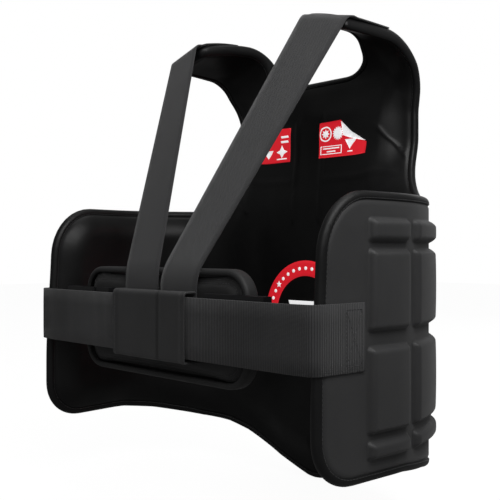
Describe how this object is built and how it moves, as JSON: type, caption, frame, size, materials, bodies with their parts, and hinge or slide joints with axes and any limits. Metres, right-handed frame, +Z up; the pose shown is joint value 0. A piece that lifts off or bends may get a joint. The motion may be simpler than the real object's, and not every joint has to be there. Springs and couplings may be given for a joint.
{
  "type": "chest protector",
  "caption": "Padded wrap-around chest protector with foam strike blocks, shoulder straps, a back pad, and a side-buckled elastic waist belt.",
  "frame": {"origin": "under the middle of the vest: the lowest point of the apron is z = 0, and x = 0, y = 0 is the middle of its width and depth", "axes": "+Z up, the chest faces -Y, the wearer's right side is -X"},
  "size_m": [0.4984, 0.303, 0.5709],
  "materials": {
    "cover_leather": "matt black-grey grained synthetic leather",
    "block_leather": "moulded synthetic leather over foam blocks",
    "lining": "smooth black moulded lining",
    "foam": "closed-cell foam",
    "binding": "rolled edge binding",
    "pad_leather": "stitched synthetic leather",
    "strap_webbing": "flat woven webbing",
    "elastic": "ribbed elastic",
    "buckle_plastic": "moulded acetal",
    "thread": "stitching",
    "label": "printed film",
    "ring": "heat-transfer print"
  },
  "bodies": {
    "chest": {"chest_foam": "foam", "chest_cover": "cover_leather", "chest_lining": "lining", "chest_binding": "binding", "front_blocks": "block_leather", "right_corner_blocks": "block_leather", "left_corner_blocks": "block_leather", "back_pad_foam": "foam", "back_pad_cover": "pad_leather", "back_pad_backing": "lining", "back_pad_binding": "binding", "belt_sleeve": "pad_leather", "right_shoulder_strap": "strap_webbing", "left_shoulder_strap": "strap_webbing", "right_strap_stitching": "thread", "left_strap_stitching": "thread", "right_inner_label": "label", "left_inner_label": "label", "ring_print": "ring"},
    "right_wing": {"right_wing_foam": "foam", "right_wing_cover": "cover_leather", "right_wing_lining": "lining", "right_wing_binding": "binding", "right_wing_blocks": "block_leather", "right_elastic_anchor": "elastic", "right_anchor_stitching": "thread"},
    "right_belt": {"right_waist_elastic": "elastic", "right_buckle_socket": "buckle_plastic", "right_buckle_plug": "buckle_plastic", "right_plug_webbing": "strap_webbing", "right_socket_webbing": "strap_webbing"},
    "right_upper_prong": {"right_upper_prong": "buckle_plastic"},
    "right_lower_prong": {"right_lower_prong": "buckle_plastic"},
    "left_wing": {"left_wing_foam": "foam", "left_wing_cover": "cover_leather", "left_wing_lining": "lining", "left_wing_binding": "binding", "left_wing_blocks": "block_leather", "left_elastic_anchor": "elastic", "left_anchor_stitching": "thread"},
    "left_belt": {"left_waist_elastic": "elastic", "left_buckle_socket": "buckle_plastic", "left_buckle_plug": "buckle_plastic", "left_plug_webbing": "strap_webbing", "left_socket_webbing": "strap_webbing"},
    "left_upper_prong": {"left_upper_prong": "buckle_plastic"},
    "left_lower_prong": {"left_lower_prong": "buckle_plastic"}
  },
  "joints": [
    {"name": "right_wing_flex", "type": "hinge", "parent": "chest", "child": "right_wing", "pos_m": [-0.2161, 0.0095, 0.2], "axis": [0, 0, -1], "range_deg": [-5, 8], "stiffness_Nm_per_rad": 1.5},
    {"name": "right_belt_turn", "type": "hinge", "parent": "right_wing", "child": "right_belt", "pos_m": [-0.2195, 0.138, 0.2145], "axis": [0, 0, 1], "range_deg": [-5, 8]},
    {"name": "right_upper_prong_squeeze", "type": "hinge", "parent": "right_belt", "child": "right_upper_prong", "pos_m": [-0.1075, 0.139, 0.2395], "axis": [0, -1, 0], "range_deg": [0, 10.5], "stiffness_Nm_per_rad": 0.3},
    {"name": "right_lower_prong_squeeze", "type": "hinge", "parent": "right_belt", "child": "right_lower_prong", "pos_m": [-0.1075, 0.139, 0.1995], "axis": [0, 1, 0], "range_deg": [0, 10.5], "stiffness_Nm_per_rad": 0.3},
    {"name": "left_wing_flex", "type": "hinge", "parent": "chest", "child": "left_wing", "pos_m": [0.2161, 0.0095, 0.2], "axis": [0, 0, 1], "range_deg": [-5, 8], "stiffness_Nm_per_rad": 1.5},
    {"name": "left_belt_turn", "type": "hinge", "parent": "left_wing", "child": "left_belt", "pos_m": [0.2195, 0.138, 0.2145], "axis": [0, 0, -1], "range_deg": [-5, 8]},
    {"name": "left_upper_prong_squeeze", "type": "hinge", "parent": "left_belt", "child": "left_upper_prong", "pos_m": [0.1075, 0.139, 0.2395], "axis": [0, 1, 0], "range_deg": [0, 10.5], "stiffness_Nm_per_rad": 0.3},
    {"name": "left_lower_prong_squeeze", "type": "hinge", "parent": "left_belt", "child": "left_lower_prong", "pos_m": [0.1075, 0.139, 0.1995], "axis": [0, -1, 0], "range_deg": [0, 10.5], "stiffness_Nm_per_rad": 0.3}
  ],
  "couplings": [
    {"joint": "right_belt_turn", "follows": "right_wing_flex", "ratio": 1},
    {"joint": "right_lower_prong_squeeze", "follows": "right_upper_prong_squeeze", "ratio": 1},
    {"joint": "left_belt_turn", "follows": "left_wing_flex", "ratio": 1},
    {"joint": "left_lower_prong_squeeze", "follows": "left_upper_prong_squeeze", "ratio": 1}
  ]
}
